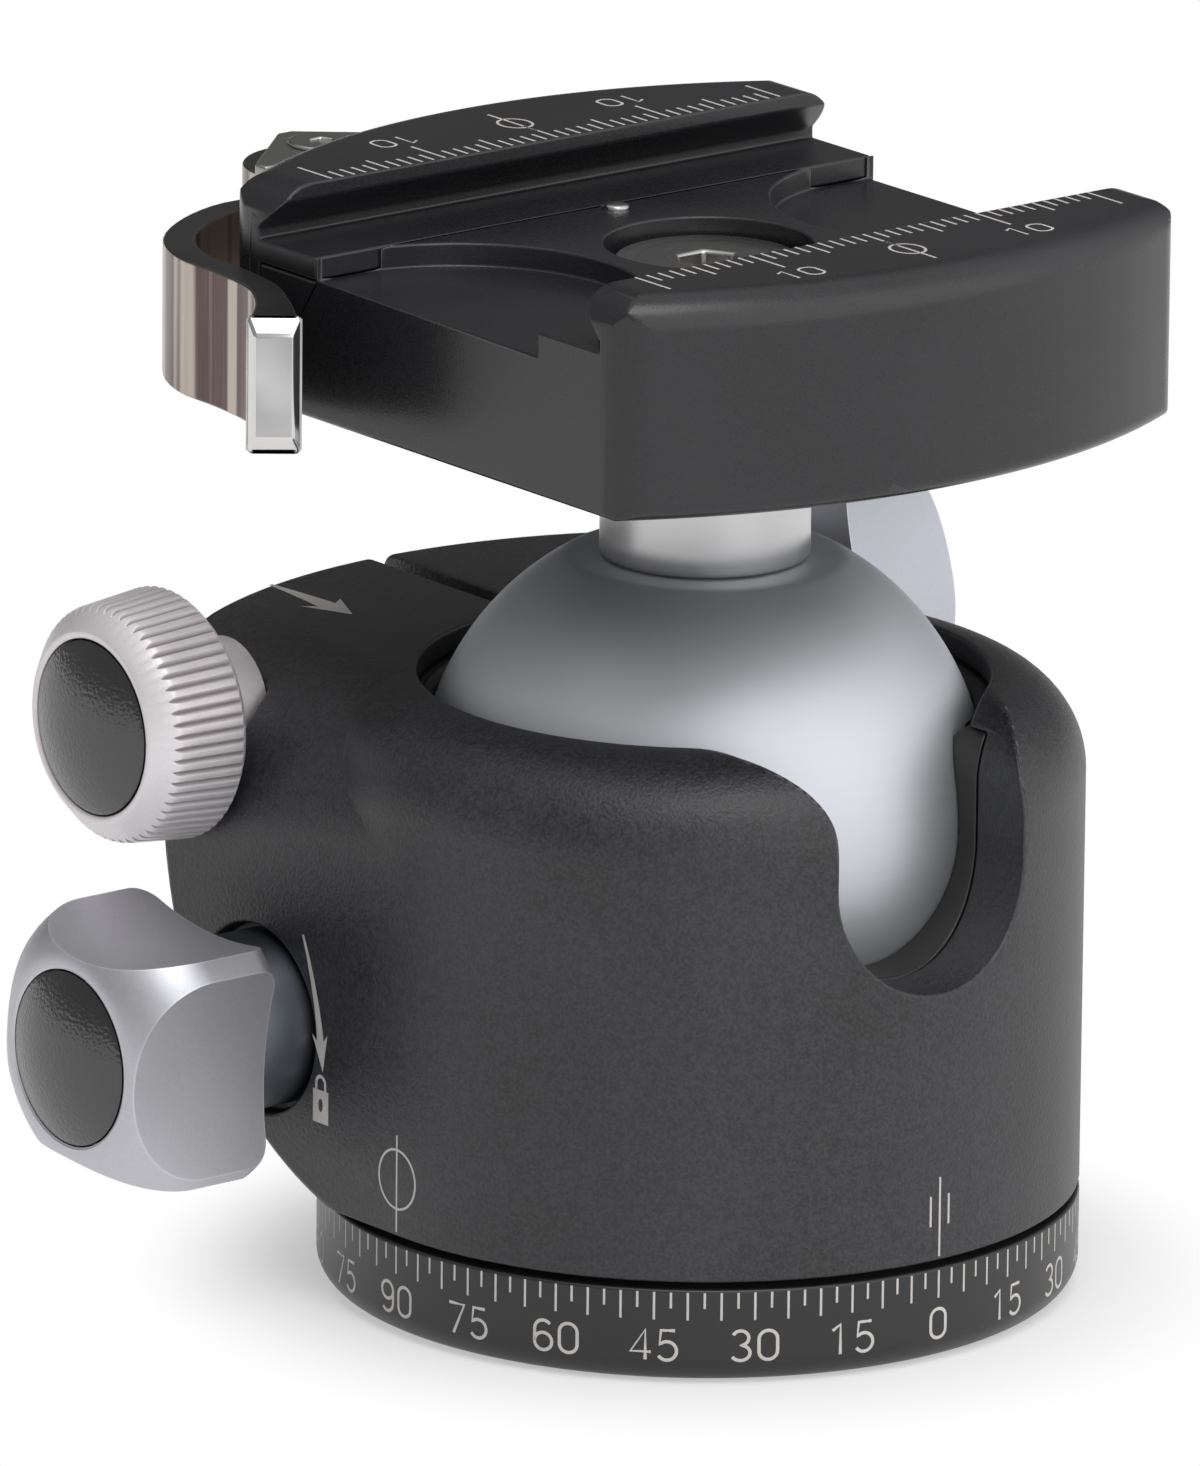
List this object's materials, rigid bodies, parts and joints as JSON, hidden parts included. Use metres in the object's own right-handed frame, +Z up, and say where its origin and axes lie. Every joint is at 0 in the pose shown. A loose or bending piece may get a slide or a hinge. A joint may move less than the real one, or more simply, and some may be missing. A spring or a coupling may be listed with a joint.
{
  "type": "tripod ball head",
  "caption": "Panning ball head with a drop notch, three knobs and a lever-release dovetail clamp on top.",
  "frame": {"origin": "centre of the base's underside, at the mouth of the tripod thread", "axes": "+Z up along the panning axis; -Y towards the drop notch and the zero mark; -X towards the pan lock and friction knobs; +X towards the ball lock knob"},
  "size_m": [0.0824, 0.0665, 0.079],
  "materials": {
    "ring_black": "satin black anodised",
    "body_black": "satin black anodised",
    "clamp_black": "satin black anodised",
    "liner_dark": "dark dry film",
    "ball_silver": "fine satin",
    "stem_silver": "turned satin",
    "steel": "machined",
    "bronze": "plain bearing bronze",
    "bearing_plastic": "low friction",
    "seat_metal": "turned",
    "main_knob_anodised": "pale anodised",
    "friction_knob_anodised": "pale anodised",
    "pan_knob_anodised": "grey anodised",
    "collar_blue_grey": "blue grey anodised",
    "insert_black": "pebbled gloss",
    "lever_steel": "brushed",
    "plate_grey": "matte grey green"
  },
  "bodies": {
    "base": {"pan_base": "ring_black", "thread_insert": "steel", "thrust_washer": "bearing_plastic"},
    "head": {"housing": "body_black", "socket_liner": "liner_dark", "pan_bushing": "bronze", "hub_snap_ring": "steel", "main_thrust_washer": "bronze", "friction_collar": "friction_knob_anodised", "pan_lock_collar": "collar_blue_grey"},
    "seat": {"ball_seat": "seat_metal"},
    "ball": {"ball": "ball_silver"},
    "clamp": {"stem": "stem_silver", "stem_dowel": "steel", "clamp_body": "clamp_black", "clamp_screw": "steel", "stop_pin": "steel", "jaw_guide_pins": "steel", "jaw_springs": "steel", "draw_bolt": "steel", "lever_pivot": "steel", "lever_plate": "plate_grey"},
    "jaw": {"moving_jaw": "clamp_black", "cam_plate": "steel"},
    "lever": {"lever": "lever_steel"},
    "ball_lock": {"clamp_bolt": "steel", "main_knob": "main_knob_anodised", "main_knob_screw": "steel", "main_knob_cap": "insert_black"},
    "friction_control": {"friction_knob": "friction_knob_anodised", "friction_knob_screw": "steel", "friction_cap": "insert_black"},
    "pan_lock": {"pan_lock_screw": "steel", "pan_lock_knob": "pan_knob_anodised", "pan_knob_screw": "steel", "pan_lock_cap": "insert_black"},
    "pan_shoe": {"pan_lock_shoe": "bronze"}
  },
  "joints": [
    {"name": "pan_turn", "type": "hinge", "parent": "base", "child": "head", "pos_m": [0, 0, 0], "axis": [0, 0, 1], "continuous": true},
    {"name": "ball_roll", "type": "hinge", "parent": "head", "child": "seat", "pos_m": [0, 0, 0.035], "axis": [0, 1, 0], "range_deg": [-12, 8]},
    {"name": "ball_pitch", "type": "hinge", "parent": "seat", "child": "ball", "pos_m": [0, 0, 0.035], "axis": [1, 0, 0], "range_deg": [-8, 90]},
    {"name": "clamp_spin", "type": "hinge", "parent": "ball", "child": "clamp", "pos_m": [0, 0, 0.035], "axis": [0, 0, 1], "continuous": true},
    {"name": "lever_swing", "type": "hinge", "parent": "clamp", "child": "lever", "pos_m": [-0.01, 0.0312, 0.07], "axis": [0, 0, 1], "range_deg": [-110, 0]},
    {"name": "jaw_slide", "type": "slide", "parent": "clamp", "child": "jaw", "axis": [0, 1, 0], "range_m": [0, 0.002]},
    {"name": "ball_lock_turn", "type": "hinge", "parent": "head", "child": "ball_lock", "pos_m": [0.0277, 0.0254, 0.0398], "axis": [1, 0, 0], "range_deg": [0, 180]},
    {"name": "friction_turn", "type": "hinge", "parent": "head", "child": "friction_control", "pos_m": [-0.0272, 0.0254, 0.0398], "axis": [-1, 0, 0], "range_deg": [-180, 180]},
    {"name": "pan_lock_turn", "type": "hinge", "parent": "head", "child": "pan_lock", "pos_m": [-0.0302, 0.0163, 0.0194], "axis": [-1, 0, 0], "range_deg": [0, 200]},
    {"name": "pan_shoe_slide", "type": "slide", "parent": "head", "child": "pan_shoe", "axis": [-1, 0, 0], "range_m": [0, 0.0003]}
  ],
  "couplings": [
    {"joint": "lever_swing", "follows": "jaw_slide", "rad_per_m": -959.93},
    {"joint": "pan_lock_turn", "follows": "pan_shoe_slide", "rad_per_m": 11636}
  ]
}
